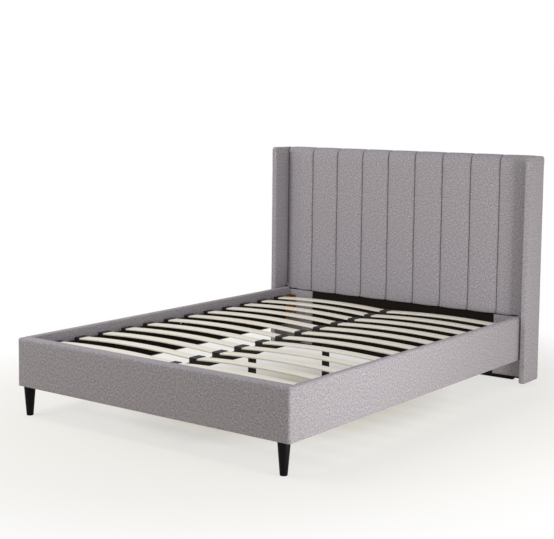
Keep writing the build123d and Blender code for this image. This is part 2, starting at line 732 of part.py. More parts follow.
def wing_cover(side):
    """Padded cover of one wing: both faces, both edges and the top."""
    outer = block(side_range(side, wing_inner, wing_outer), (wing_front, overall_length),
                  (HEADBOARD_GROUND_GAP, HEADBOARD_HEIGHT))
    corners = outer.edges().filter_by(Axis.X).group_by(Axis.Z)[-1]
    outer = fillet(corners, WING_CORNER_RADIUS)
    face = outer.faces().sort_by(Axis.X)[0 if side < 0 else -1]
    rims = [edge for edge in face.edges() if edge.center().Z > HEADBOARD_GROUND_GAP + OVERRUN]
    outer = fillet(rims, WING_EDGE_RADIUS)
    x_range = side_range(side, wing_inner + WING_PADDING, wing_outer - WING_PADDING)
    y_range = (wing_front + WING_PADDING, overall_length - WING_PADDING)
    core = block(x_range, y_range, (HEADBOARD_GROUND_GAP - OVERRUN, HEADBOARD_HEIGHT - WING_PADDING))
    return drilled(outer - core, wing_screws(side), SCREW_RADIUS)


def save(name, solids):
    """Writes one named piece, or one group of like pieces, with the origin under the middle of the bed."""
    group = solids if isinstance(solids, list) else [solids]
    placed = [Pos(0, -overall_length / 2, 0) * solid for solid in group]
    shape = Compound(children=placed) if len(placed) > 1 else placed[0]
    export_step(shape, os.path.join("parts", name + ".step"))


def main():
    """Builds every piece and writes it to its own file."""
    os.makedirs("parts", exist_ok=True)
    save("footboard_board", footboard_board())
    save("footboard_cover", footboard_cover())
    for name, side in SIDES.items():
        save("side_rail_board_" + name, side_rail_board(side))
        save("side_rail_cover_" + name, side_rail_cover(side))
        save("front_leg_" + name, front_leg(side))
        save("wing_cover_" + name, wing_cover(side))
        for row, place in enumerate(slat_places, start=1):
            save(f"slat_{name}_{row:02d}", slat(side, place))
    save("slat_ledgers", slat_ledgers())
    save("side_slat_holders", side_holders())
    save("centre_slat_holders", centre_holders())
    save("centre_beam", centre_beam())
    save("beam_hangers", beam_hangers())
    save("centre_legs", [centre_leg(middle) for middle in centre_leg_places])
    save("centre_leg_feet", [centre_leg_foot(middle) for middle in centre_leg_places])
    save("corner_brackets", corner_brackets())
    save("frame_bolts", frame_bolts())
    for number, (left, right) in enumerate(zip(channel_edges, channel_edges[1:]), start=1):
        save(f"headboard_channel_{number}", channel(left, right))
    save("headboard_panel", headboard_panel())
    save("headboard_lower_board", headboard_lower_board())
    save("headboard_timbers", headboard_timbers())
    save("headboard_back_cover", headboard_back_cover())
    save("headboard_lower_pads", headboard_lower_pads())
    save("headboard_runner", headboard_runner())
    save("dust_linings", dust_linings())
    save("wing_boards", [wing_board(side) for side in SIDES.values()])


main()
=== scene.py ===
import math

import bmesh
import bpy
from bpy.props import FloatProperty, FloatVectorProperty, PointerProperty
from mathutils import Matrix, Vector, noise


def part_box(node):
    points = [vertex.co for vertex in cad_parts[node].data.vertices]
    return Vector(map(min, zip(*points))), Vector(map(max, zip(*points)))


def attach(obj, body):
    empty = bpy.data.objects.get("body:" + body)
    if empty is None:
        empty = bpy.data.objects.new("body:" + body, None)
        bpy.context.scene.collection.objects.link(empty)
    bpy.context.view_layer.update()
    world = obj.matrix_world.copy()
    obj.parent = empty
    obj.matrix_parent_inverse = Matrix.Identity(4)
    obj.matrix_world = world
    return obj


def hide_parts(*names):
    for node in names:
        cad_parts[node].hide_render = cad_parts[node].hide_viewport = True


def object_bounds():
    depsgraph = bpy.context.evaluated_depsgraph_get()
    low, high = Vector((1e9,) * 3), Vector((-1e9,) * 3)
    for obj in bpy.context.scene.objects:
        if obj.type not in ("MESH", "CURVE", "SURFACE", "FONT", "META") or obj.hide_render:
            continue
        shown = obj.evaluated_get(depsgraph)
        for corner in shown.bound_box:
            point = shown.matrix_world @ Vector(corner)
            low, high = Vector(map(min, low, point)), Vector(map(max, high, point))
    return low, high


bl_info = {
    "name": "Upholstered bed frame",
    "version": (1, 0, 0),
    "blender": (4, 5, 0),
    "location": "View3D > Sidebar > Bed",
    "description": "Covers, slats, finishes and a plain studio for the packed bed frame",
    "category": "Object",
}

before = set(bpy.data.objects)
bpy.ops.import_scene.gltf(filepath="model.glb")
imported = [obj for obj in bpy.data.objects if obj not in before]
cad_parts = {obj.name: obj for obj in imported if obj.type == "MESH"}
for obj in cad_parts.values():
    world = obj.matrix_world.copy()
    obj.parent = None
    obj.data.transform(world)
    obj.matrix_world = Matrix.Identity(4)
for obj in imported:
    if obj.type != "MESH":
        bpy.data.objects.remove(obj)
CAD_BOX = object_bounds()
MM = 0.001
X, Y, Z = range(3)
SIDES = {"left": -1, "right": 1}
SLAT_ROWS = sum(1 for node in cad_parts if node.startswith("slat_left_"))
CHANNELS = sum(1 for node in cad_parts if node.startswith("headboard_channel_"))

# Sizes of the frame that the boxes of its nodes don't give
LOWER_PAD_WIDTH = 203 * MM
STILE_WIDTH = 40 * MM
MIDDLE_STILE_OFFSET = 270 * MM
TOP_TIMBER_HEIGHT = 40 * MM
BOTTOM_TIMBER_HEIGHT = 80 * MM
SLAT_THICKNESS = 8 * MM
SIDE_HOLDER_LENGTH = 28 * MM
BRACKET_LEG = 45 * MM
LEG_FOOT_RADIUS = 16 * MM

# The thinnest cloth or gap, how near counts as touching, and the least cosine between parallels
HAIR = 0.4 * MM
TOUCH = 1 * MM
PARALLEL = 0.999

# The material and the slot of the covers and of the black cloth
COVER = ("melange_upholstery", "grey_upholstery")
LINING = ("spunbond_lining", "black_cloth")


def linear(hex_colour):
    """The linear red, green and blue of an sRGB hex colour."""
    values = [int(hex_colour[i:i + 2], 16) / 255 for i in (1, 3, 5)]
    return [v / 12.92 if v <= 0.04045 else ((v + 0.055) / 1.055) ** 2.4 for v in values]


def number(name, description, default, **settings):
    """A number that shows in the panel."""
    return FloatProperty(name=name, description=description, default=default, **settings)


def length(name, description, millimetres):
    """A size that shows in the panel."""
    return number(name, description, millimetres * MM, min=0.0, unit="LENGTH", precision=4)


def power(name, description, watts):
    """The power of a lamp that shows in the panel."""
    return number(name, description, watts, min=0.0, unit="POWER")


def angle(name, description, degrees):
    """An angle that shows in the panel."""
    return number(name, description, math.radians(degrees), subtype="ANGLE")


def colour(name, description, hex_colour):
    """A colour that shows in the panel."""
    return FloatVectorProperty(name=name, description=description, default=linear(hex_colour), size=3,
                               min=0.0, max=1.0, subtype="COLOR")


class BedCoverSizes(bpy.types.PropertyGroup):
    """Sizes of the padded covers"""
    rail_edge: length("Rail edge", "Radius of the long upper edges of a side rail", 9)
    footboard_edge: length("Footboard edge", "Radius of the outer edges of the footboard", 11)
    joint_edge: length("Joint edge", "Radius of an edge that meets another cover", 2)
    wing_edge: length("Wing edge", "Radius of the long edges of a wing", 7)
    wing_corner: length("Wing corner", "Radius of the upper corners of a wing", 20)
    wing_foot: length("Wing foot", "Radius of the lower corners of a wing", 10)
    pad_edge: length("Pad edge", "Radius of the edges of the lower pads", 4)
    seam_depth: length("Seam depth", "Depth of the seams between the channels", 20)
    seam_roll: length("Seam roll", "Width over which a channel rolls into its seam", 11)
    joint_roll: length("Joint roll", "Width over which an end channel rolls into its wing joint", 45)
    joint_depth: length("Joint depth", "Depth of that roll", 14)
    joint_gap: length("Joint gap", "Open slit between an end channel and its wing", 4)
    seam_stray: length("Seam stray", "How far a seam strays sideways", 2.4)
    crown: length("Crown", "Rise of the middle of a channel over its shoulders", 3)
    wing_roll_depth: length("Wing roll depth", "How far an end channel sinks towards its wing", 17)
    wing_roll_width: length("Wing roll width", "Width over which it sinks", 185)
    top_roll: length("Top roll", "Radius with which the channels turn over the top", 42)
    top_lean: length("Top lean", "How far the front leans back before it turns over the top", 9)
    lean_height: length("Lean height", "Height over which it leans back", 85)
    foot_roll: length("Foot roll", "Radius of the lower ends of the channels", 6)
    pucker: length("Pucker", "Depth of the gathers along the seams", 2.4)
    pucker_pitch: length("Pucker pitch", "Distance between gathers along a seam", 38)
    mesh_step: length("Mesh step", "Distance between the points of a simulated cover", 7)
    cloth_step: length("Cloth step", "Distance between the points of a flat cloth", 16)
    skin: length("Skin", "Thickness of a padded cover that hides no board", 4)
    rail_swell: length("Rail swell", "Most that the padding pushes a rail cover out", 1.6)
    wing_swell: length("Wing swell", "Most that the padding pushes a wing cover out", 2.2)
    channel_swell: length("Channel swell", "Most that the padding pushes a channel out", 2.6)
    pressure: number("Padding pressure", "Pressure of the foam on the cloth", 4.0, min=0.0)


class BedClothLook(bpy.types.PropertyGroup):
    """Colours and threads of the cloths"""
    dark: colour("Dark thread", "Darkest thread of the cover", "#7D787F")
    middle: colour("Middle thread", "Middle tone of the cover", "#9B969C")
    light: colour("Light thread", "Lightest thread of the cover", "#BBB7BC")
    lining: colour("Lining", "Black lining cloth", "#17120F")
    thread: length("Thread spacing", "Distance between the threads of the cover", 1.9)
    heather: length("Heather size", "Size of the light and dark flecks", 7)


class BedHardLook(bpy.types.PropertyGroup):
    """Colours of timber, metal and plastic"""
    birch: colour("Birch", "Veneer of the slats", "#F2ECE1")
    birch_grain: colour("Birch grain", "Darker streaks in the veneer", "#E0D6C5")
    ply_edge: colour("Ply edge", "Edges of the glued veneers", "#F1EBDD")
    plastic: colour("Plastic", "Slat holders and foot caps", "#2B2A2B")
    leg: colour("Leg lacquer", "Lacquer of the front legs", "#100E0F")
    powder: colour("Powder coat", "Centre beam, hangers and centre legs", "#1A1817")
    yellow_zinc: colour("Yellow zinc", "Corner brackets", "#B08A3C")
    bright_zinc: colour("Bright zinc", "Bolts and screws", "#B9BABC")
    stained: colour("Stained timber", "Ledgers and floor runner", "#181310")
    board: colour("Particle board", "Boards inside the covers", "#B89A70")
    pine: colour("Pine", "Timbers of the headboard", "#D2B37E")


class BedStudio(bpy.types.PropertyGroup):
    """Camera and light"""
    camera_at: FloatVectorProperty(name="Camera", description="Place of the camera", size=3,
                                   default=(3.5276, -4.8616, 1.4766), subtype="XYZ", unit="LENGTH")
    azimuth: angle("Azimuth", "Turn of the view from straight along the bed", 36.736)
    down: angle("Downward", "How far the view looks down", 5.553)
    roll: angle("Roll", "Turn of the picture about the view", 0.632)
    lens: number("Lens", "Focal length in millimetres on a 36 mm sensor", 78.98)
    rise: number("Shift", "Vertical shift as a share of the width", -0.0893)
    key: power("Key light", "Soft lamp, high at the left of the foot", 39.0)
    top: power("Top light", "Soft lamp, high beside the left rail", 31.0)
    strip: power("Strip light", "Low lamp beside the right rail", 42.0)
    rear: power("Rear light", "Soft lamp beside the right wing", 14.0)
    ambient: number("Ambient", "Strength of the even light from all round", 0.55, min=0.0)
    floor: colour("Floor", "Pale studio floor", "#D4CDBA")


# Modelling helpers


def deselect():
    """Object mode with nothing selected."""
    if bpy.context.object and bpy.context.object.mode != "OBJECT":
        bpy.ops.object.mode_set(mode="OBJECT")
    bpy.ops.object.select_all(action="DESELECT")


def make_active(piece):
    """Selects one piece alone and makes it the active one."""
    deselect()
    piece.select_set(True)
    bpy.context.view_layer.objects.active = piece


def adjust(item, **settings):
    """Gives an item its settings."""
    for name, value in settings.items():
        setattr(item, name, value)
    return item


def rename(piece, name):
    """Gives a piece and its mesh one name."""
    piece.name = name
    piece.data.name = name
    return piece


def add_object(name, data):
    """Puts a new object with its data in the scene."""
    item = bpy.data.objects.new(name, data)
    bpy.context.scene.collection.objects.link(item)
    return item


def settle(name):
    """Names the shape that was just added, and puts its place and size into its mesh."""
    bpy.ops.object.transform_apply(location=True, rotation=True, scale=True)
    return rename(bpy.context.object, name)


def add_block(name, low, high):
    """A block between two corners."""
    deselect()
    low, high = Vector(low), Vector(high)
    bpy.ops.mesh.primitive_cube_add(size=1, location=(low + high) / 2)
    bpy.context.object.scale = high - low
    return settle(name)


def copy_piece(piece, name, step):
    """A copy with its own mesh, moved by a step."""
    mesh = piece.data.copy()
    mesh.transform(Matrix.Translation(step))
    return rename(add_object(name, mesh), name)


def edit(piece, kind, test, operator, **settings):
    """Runs one mesh operator on the faces or edges of a piece that pass a test."""
    make_active(piece)
    bpy.ops.object.mode_set(mode="EDIT")
    bpy.ops.mesh.select_mode(type=kind)
    bpy.ops.mesh.select_all(action="DESELECT")
    mesh = bmesh.from_edit_mesh(piece.data)
    chosen = [part for part in (mesh.faces if kind == "FACE" else mesh.edges) if test(part)]
    for part in chosen:
        part.select_set(True)
    bmesh.update_edit_mesh(piece.data)
    if not chosen:
        raise RuntimeError(f"nothing to shape was found on {piece.name}")
    operator(**settings)
    bpy.ops.object.mode_set(mode="OBJECT")


def runs_along(edge, axis, shortest=0.0):
    """True if an edge is parallel to an axis and longer than a length."""
    step = edge.verts[1].co - edge.verts[0].co
    return step.length > shortest and abs(step[axis]) > PARALLEL * step.length


def middle(edge):
    """The middle of an edge."""
    return (edge.verts[0].co + edge.verts[1].co) / 2


def faces_towards(face, normal):
    """True if a face looks along a direction."""
    return face.normal.dot(Vector(normal)) > PARALLEL


def faces_along(face, axis):
    """True if a face looks one way or the other along an axis."""
    return abs(face.normal[axis]) > PARALLEL


def remove_faces(piece, test):
    """Deletes the faces that pass the test."""
    edit(piece, "FACE", test, bpy.ops.mesh.delete, type="FACE")


def round_edges(piece, radius, test, segments):
    """Bevels the edges that pass the test to a round."""
    edit(piece, "EDGE", test, bpy.ops.mesh.bevel, offset=radius, offset_type="OFFSET", segments=segments,
         profile=0.5, affect="EDGES", clamp_overlap=False)


def longest_along(piece, axis):
    """The length of the longest edge of a piece that is parallel to an axis."""
    points = piece.data.vertices
    steps = [points[edge.vertices[1]].co - points[edge.vertices[0]].co for edge in piece.data.edges]
    return max(step.length for step in steps if abs(step[axis]) > PARALLEL * step.length)


def divide(piece, axis, count):
    """Divides the long edges that are parallel to an axis into equal steps."""
    shortest = longest_along(piece, axis) / 2
    edit(piece, "EDGE", lambda edge: runs_along(edge, axis, shortest), bpy.ops.mesh.subdivide,
         number_cuts=max(1, count - 1))


def divide_by(piece, step, *axes):
    """Divides the long edges along each axis in turn into steps of about a length."""
    for axis in axes:
        divide(piece, axis, round(longest_along(piece, axis) / step))


def cut_at(piece, place, normal):
    """Adds a line of edges where a plane crosses the piece."""
    edit(piece, "FACE", lambda face: True, bpy.ops.mesh.bisect, plane_co=place, plane_no=normal)


def paint(piece, *names):
    """Gives a piece its materials."""
    piece.data.materials.clear()
    for name in names:
        piece.data.materials.append(bpy.data.materials[name])


def finish_mesh(piece, wall=0.0, sharpest=40.0):
    """A wall inwards from the skin, smooth shading with hard edges past an angle, and a map in metres."""
    make_active(piece)
    if wall > 0:
        solid = adjust(piece.modifiers.new("Wall", "SOLIDIFY"), thickness=wall, offset=-1.0)
        bpy.ops.object.modifier_apply(modifier=solid.name)
    bpy.ops.object.shade_smooth_by_angle(angle=math.radians(sharpest))
    edit(piece, "FACE", lambda face: True, bpy.ops.uv.cube_project, cube_size=1.0, correct_aspect=False,
         clip_to_bounds=False, scale_to_bounds=False)


def ripple(point, size, seed):
    """Smooth noise from -1 to 1 at a point, for ripples of a size."""
    return noise.noise(Vector(point) / size + Vector((seed, 0.37 * seed, 1.7 * seed)))


def fade(distance, reach):
    """Falls from 1 at no distance towards 0, over a reach."""
    return math.exp(-distance / reach)


def clamp(value):
    """The value held between 0 and 1."""
    return min(1.0, max(0.0, value))


def move_points(piece, rule):
    """Moves each point by what the rule gives for its place and normal."""
    moves = [rule(v.co.copy(), v.normal.copy()) for v in piece.data.vertices]
    for vertex, move in zip(piece.data.vertices, moves):
        vertex.co += move
    piece.data.update()


def swell(piece, held, limit, sizes, grow=0.0):
    """Lets the padding press a cover outwards: a short cloth run, with no point moved past the limit."""
    if limit <= 0:
        return
    last_frame = 20
    scene = bpy.context.scene
    make_active(piece)
    start = [v.co.copy() for v in piece.data.vertices]
    group = piece.vertex_groups.new(name="held")
    group.add([v.index for v in piece.data.vertices if held(v.co)], 1.0, "REPLACE")
    cloth = piece.modifiers.new("Cloth", "CLOTH")
    adjust(cloth.settings, quality=4, mass=0.3, bending_stiffness=2.0, shrink_min=-grow,
           vertex_group_mass="held", use_pressure=True, uniform_pressure_force=sizes.pressure)
    cloth.settings.effector_weights.gravity = 0.0
    cloth.collision_settings.use_collision = False
    adjust(cloth.point_cache, frame_start=1, frame_end=last_frame)
    for moment in range(1, last_frame + 1):
        scene.frame_set(moment)
    bpy.ops.object.modifier_apply(modifier=cloth.name)
    scene.frame_set(1)
    piece.vertex_groups.clear()
    for vertex, before in zip(piece.data.vertices, start):
        move = vertex.co - before
        vertex.co = before + move * (limit / (limit + move.length))
    piece.data.update()


# Materials


def add_node(tree, kind, inputs=None, stops=(), **settings):
    """Adds a node with its settings, what its inputs hold or are linked to, and its colour ramp's stops."""
    node = adjust(tree.nodes.new("ShaderNode" + kind), **settings)
    for name, value in (inputs or {}).items():
        if isinstance(value, bpy.types.Node):
            value = value.outputs[0]
        if isinstance(value, bpy.types.NodeSocket):
            tree.links.new(value, node.inputs[name])
        else:
            node.inputs[name].default_value = value
    for index, (place, rgb) in enumerate(stops):
        points = node.color_ramp.elements
        point = points[index] if index < len(points) else points.new(place)
        point.position = place
        point.color = (*rgb, 1.0)
    return node


def new_tree(name):
    """The empty node tree of a new material."""
    material = bpy.data.materials.new(name)
    material.use_nodes = True
    material.node_tree.nodes.clear()
    return material.node_tree


def add_surface(tree, inputs):
    """The surface shader of a material, joined to its output."""
    add_node(tree, "OutputMaterial", {"Surface": add_node(tree, "BsdfPrincipled", inputs)})


def shade(rgb, factor):
    """A colour made darker or paler by a factor."""
    return [min(1.0, value * factor) for value in rgb]


def waves_per_metre(spacing):
    """The scale at which a wave texture repeats once in a spacing. It turns 20 radians in a unit."""
    return 2 * math.pi / 20 / spacing


def melange_upholstery(tree, look):
    """Woven polyester melange: threads of several greys, so flecked and matt, with a soft bloom."""
    cloth = add_node(tree, "UVMap", uv_map="UVMap")
    thread = {"Vector": cloth, "Scale": waves_per_metre(look.thread), "Distortion": 1.2, "Detail": 1.0,
              "Detail Scale": 0.6}
    warp, weft = (add_node(tree, "TexWave", thread, bands_direction=way).outputs["Fac"] for way in "XY")
    weave = add_node(tree, "Math", {0: warp, 1: weft}, operation="MULTIPLY")
    # Flecks run a little way along the threads, both ways. The real ones are 1 to 2 mm wide,
    # drawn coarser so that they show
    fleck = {"Scale": 1 / look.heather, "Detail": 2.0, "Roughness": 0.6}
    flecks = []
    for stretch in ((0.7, 1.3, 1.0), (1.3, 0.7, 1.0)):
        threads = add_node(tree, "Mapping", {"Vector": cloth, "Scale": stretch})
        flecks.append(add_node(tree, "TexNoise", {"Vector": threads, **fleck}))
    heather = add_node(tree, "Mix", {"Factor": 0.5, 2: flecks[0], 3: flecks[1]}, data_type="FLOAT")
    mixed = add_node(tree, "Math", {0: weave, 1: 0.10, 2: heather}, operation="MULTIPLY_ADD")
    tone = add_node(tree, "ValToRGB", {"Fac": mixed},
                    stops=[(0.365, look.dark), (0.525, look.middle), (0.685, look.light)])
    relief = add_node(tree, "Math", {0: heather, 1: 1.4, 2: weave}, operation="MULTIPLY_ADD")
    bump = add_node(tree, "Bump", {"Strength": 0.4, "Distance": 0.6 * MM, "Height": relief})
    add_surface(tree, {"Base Color": tone, "Normal": bump, "Roughness": 0.92, "IOR": 1.45,
                       "Specular IOR Level": 0.25, "Sheen Weight": 0.12, "Sheen Roughness": 0.4})


def spunbond_lining(tree, look):
    """Spunbond polypropylene lining: matt black felted fibres with a fine embossed dimple."""
    place = add_node(tree, "TexCoord").outputs["Object"]
    # Dimples about 1.5 mm apart
    dimples = add_node(tree, "TexVoronoi", {"Vector": place, "Scale": 1 / (1.5 * MM)})
    fibres = add_node(tree, "TexNoise", {"Vector": place, "Scale": 1 / (6 * MM), "Detail": 5.0})
    tone = add_node(tree, "ValToRGB", {"Fac": fibres},
                    stops=[(0.3, look.lining), (0.75, shade(look.lining, 1.6))])
    bump = add_node(tree, "Bump", {"Strength": 0.3, "Distance": 0.3 * MM, "Height": dimples})
    add_surface(tree, {"Base Color": tone, "Normal": bump, "Roughness": 0.85, "Specular IOR Level": 0.12})


def birch_veneer(tree, look):
    """Rotary-cut birch veneer under a clear lacquer: cream, with long faint streaks and a low sheen."""
    veneer = add_node(tree, "UVMap", uv_map="UVMap")
    # Streaks are about 250 mm long and 3 mm wide, and clouds 500 by 24 mm
    fine = add_node(tree, "Mapping", {"Vector": veneer, "Scale": (1 / 0.25, 1 / (3 * MM), 1.0)})
    streaks = add_node(tree, "TexNoise", {"Vector": fine, "Scale": 1.0, "Detail": 6.0, "Roughness": 0.65,
                                          "Distortion": 0.4})
    broad = add_node(tree, "Mapping", {"Vector": veneer, "Scale": (1 / 0.5, 1 / (24 * MM), 1.0)})
    clouds = add_node(tree, "TexNoise", {"Vector": broad, "Scale": 1.0, "Detail": 3.0})
    mixed = add_node(tree, "Math", {0: clouds, 1: 0.5, 2: streaks}, operation="MULTIPLY_ADD")
    tone = add_node(tree, "ValToRGB", {"Fac": mixed}, stops=[(0.55, look.birch_grain), (0.80, look.birch)])
    bump = add_node(tree, "Bump", {"Strength": 0.15, "Distance": 0.2 * MM, "Height": streaks})
    add_surface(tree, {"Base Color": tone, "Normal": bump, "Roughness": 0.5, "Coat Weight": 0.12,
                       "Coat Roughness": 0.3})


def birch_ply_edge(tree, look):
    """Sawn edge of glued birch veneers: thin darker glue lines along the slat."""
    edge = add_node(tree, "UVMap", uv_map="UVMap")
    # Plies are about 1.6 mm thick
    plies = add_node(tree, "TexWave", {"Vector": edge, "Scale": waves_per_metre(1.6 * MM), "Distortion": 0.6,
                                       "Detail": 1.0}, bands_direction="Y").outputs["Fac"]
    fibres = add_node(tree, "TexNoise", {"Vector": edge, "Scale": 1 / (5 * MM), "Detail": 4.0})
    mixed = add_node(tree, "Math", {0: fibres, 1: 0.35, 2: plies}, operation="MULTIPLY_ADD")
    tone = add_node(tree, "ValToRGB", {"Fac": mixed},
                    stops=[(0.12, shade(look.ply_edge, 0.86)), (0.35, look.ply_edge), (1.0, look.birch)])
    add_surface(tree, {"Base Color": tone, "Roughness": 0.72})


def speckled(tree, rgb, size, roughness, contrast, metallic=0.0, shine=0.5, depth=0.1 * MM,
             stretch=(1.0, 1.0, 1.0)):
    """A finish with small lighter and darker specks of a size and a matching slight relief."""
    place = add_node(tree, "TexCoord").outputs["Object"]
    drawn_out = add_node(tree, "Mapping", {"Vector": place, "Scale": stretch})
    specks = add_node(tree, "TexNoise", {"Vector": drawn_out, "Scale": 1 / size, "Detail": 5.0,
                                         "Roughness": 0.6})
    tone = add_node(tree, "ValToRGB", {"Fac": specks},
                    stops=[(0.3, shade(rgb, 1 - contrast)), (0.7, shade(rgb, 1 + contrast))])
    worn = add_node(tree, "MapRange", {"Value": specks, "To Min": roughness * 0.88,
                                       "To Max": min(1.0, roughness * 1.12)})
    bump = add_node(tree, "Bump", {"Strength": 0.4, "Distance": depth, "Height": specks})
    add_surface(tree, {"Base Color": tone, "Roughness": worn, "Normal": bump, "Metallic": metallic,
                       "Specular IOR Level": shine})


def moulded_polypropylene(tree, look):
    """Moulded polypropylene: fine spark texture from the mould, with a soft wide highlight."""
    speckled(tree, look.plastic, size=1.2 * MM, roughness=0.55, contrast=0.18, shine=0.3)


def satin_black_lacquer(tree, look):
    """Dull satin lacquer over turned beech: almost black, with closed grain that runs up the leg."""
    speckled(tree, look.leg, size=4 * MM, roughness=0.45, contrast=0.22, shine=0.08, depth=0.05 * MM,
             stretch=(1.0, 1.0, 0.12))


def black_powder_coat(tree, look):
    """Powder coat baked on steel tube: slight orange peel."""
    speckled(tree, look.powder, size=1.6 * MM, roughness=0.5, contrast=0.15, shine=0.2, depth=0.12 * MM)


def yellow_passivated_zinc(tree, look):
    """Yellow-passivated zinc on pressed steel: a cloudy gold film over a satin metal."""
    speckled(tree, look.yellow_zinc, size=12 * MM, roughness=0.38, contrast=0.28, metallic=1.0)


def bright_zinc_plate(tree, look):
    """Bright zinc plate on cold-headed screws: pale and slightly blotched."""
    speckled(tree, look.bright_zinc, size=5 * MM, roughness=0.32, contrast=0.10, metallic=1.0)


def black_stained_pine(tree, look):
    """Black-stained softwood: matt, with the grain just showing along the bed."""
    speckled(tree, look.stained, size=3 * MM, roughness=0.75, contrast=0.4, shine=0.12, depth=0.2 * MM,
             stretch=(1.0, 0.05, 1.0))


def raw_particle_board(tree, look):
    """Raw pressed particle board: chips a few millimetres across, dry and matt."""
    speckled(tree, look.board, size=3.5 * MM, roughness=0.85, contrast=0.28, depth=0.3 * MM)


def planed_pine(tree, look):
    """Planed pine: long grain up and down, with a faint sheen from the planer."""
    speckled(tree, look.pine, size=5 * MM, roughness=0.62, contrast=0.22, depth=0.15 * MM,
             stretch=(1.0, 1.0, 0.05))


def finish_piece(piece, material, slot, *nodes, fill=None):
    """Gives a modelled piece its material and its place on the bed, and hides the nodes that it stands for.
    """
    paint(piece, material)
    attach(piece, "root")
    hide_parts(*nodes)


# Padded covers


def footboard_cover(sizes):
    """Padded cover of the footboard: a front, a back, a top and two ends over its board."""
    low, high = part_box("footboard_cover")
    board_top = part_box("footboard_board")[1].z
    radius = sizes.footboard_edge
    piece = add_block("footboard_upholstery", low, high)
    remove_faces(piece, lambda face: faces_towards(face, (0, 0, -1)))
    round_edges(piece, radius, lambda edge: middle(edge).z > low.z + radius, segments=5)
    divide_by(piece, sizes.mesh_step, X, Z, Y)
    tighten_back_edges(piece, high, radius, sizes.joint_edge)
    hem = 6 * MM
    wave_height = 0.5 * MM

    def is_held(co):
        """The hem and the face against the rails."""
        return co.z < low.z + hem or co.y > high.y - hem

    def ease(co, normal):
        """Slight waves above the hem."""
        return Vector() if is_held(co) else normal * (wave_height * ripple(co, size=0.13, seed=3.0))

    swell(piece, is_held, sizes.rail_swell, sizes)
    move_points(piece, ease)
    finish_mesh(piece, high.z - board_top - HAIR)
    finish_piece(piece, *COVER, "footboard_cover", fill=0.9)


def tighten_back_edges(piece, high, radius, small):
    """Sharpens the two upright edges of the footboard that meet the rails."""
    reach = high.x - radius
    depth = high.y - radius

    def tighten(co, normal):
        """Scales the round down towards the corner."""
        if co.y < depth or abs(co.x) < reach:
            return Vector()
        side = math.copysign(1, co.x)
        turned = Vector((co.x - side * reach, co.y - depth, 0)) * (small / radius)
        return turned + Vector((side * (high.x - small) - co.x, high.y - small - co.y, 0))

    move_points(piece, tighten)


def rail_cover(side_name, sizes):
    """Padded cover of one side rail, folded over its top and open below and at both ends."""
    node = "side_rail_cover_" + side_name
    low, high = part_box(node)
    board_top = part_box("side_rail_board_" + side_name)[1].z
    outer = high.x if side_name == "right" else low.x
    piece = add_block("side_rail_upholstery_" + side_name, low, high)
    remove_faces(piece, lambda face: faces_towards(face, (0, 0, -1)) or faces_along(face, Y))
    round_edges(piece, sizes.rail_edge,
                lambda edge: runs_along(edge, Y) and middle(edge).z > high.z - TOUCH, segments=5)
    divide_by(piece, sizes.mesh_step, Y, Z, X)
    hem = 12 * MM
    fold = 3 * MM
    fold_depth = 2.2 * MM
    wave_height = 0.5 * MM
    calm = 50 * MM
    seed = 14.0 + 3.0 * SIDES[side_name]

    def is_inner(co):
        """The inner face, which stays flat under the linings and ledgers."""
        return abs(co.x - outer) > high.x - low.x - TOUCH

    def is_held(co):
        """The hem, the ends and the inner face."""
        return co.z < low.z + hem or co.y < low.y + hem or co.y > high.y - hem or is_inner(co)

    def ease(co, normal):
        """Slight waves along the rail, and a fold where the cloth turns in at each end."""
        from_end = min(co.y - low.y, high.y - co.y)
        wave = wave_height * ripple(co, size=0.16, seed=seed) * min(1.0, from_end / calm)
        wave = 0.0 if co.z < low.z + hem or is_inner(co) else wave
        return normal * (wave - fold_depth * fade(from_end, fold))

    swell(piece, is_held, sizes.rail_swell, sizes)
    move_points(piece, ease)
    finish_mesh(piece, high.z - board_top - HAIR)
    finish_piece(piece, *COVER, node, fill=0.85)


def wing_cover(side_name, sizes):
    """Padded cover of one wing, turned under its board, with rounded edges and corners."""
    node = "wing_cover_" + side_name
    low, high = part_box(node)
    inner = low.x if side_name == "right" else high.x
    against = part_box("headboard_channel_1")[0].y
    under = 2 * MM
    near = 3 * MM
    piece = add_block("wing_upholstery_" + side_name, (low.x, low.y, low.z - under), high)
    round_edges(piece, sizes.wing_corner,
                lambda edge: runs_along(edge, X) and middle(edge).z > low.z, segments=5)
    round_edges(piece, sizes.wing_foot,
                lambda edge: runs_along(edge, X) and middle(edge).z < low.z, segments=4)
    round_edges(piece, sizes.wing_edge,
                lambda edge: sum(faces_along(face, X) for face in edge.link_faces) == 1, segments=4)
    divide_by(piece, sizes.mesh_step, Z, Y, X)
    hem = 8 * MM
    wave_height = 0.6 * MM
    seed = 26.0 + 3.0 * SIDES[side_name]

    def is_covered(co):
        """The part of the inner face that lies against the headboard."""
        return abs(co.x - inner) < near and co.y > against

    def ease(co, normal):
        """Slight waves above the hem."""
        if is_covered(co) or co.z < low.z + hem:
            return Vector()
        return normal * (wave_height * ripple(co, size=0.11, seed=seed))

    swell(piece, lambda co: co.z < low.z + hem or is_covered(co), sizes.wing_swell, sizes)
    move_points(piece, ease)
    finish_mesh(piece, sizes.skin)
    finish_piece(piece, *COVER, node, fill=0.85)


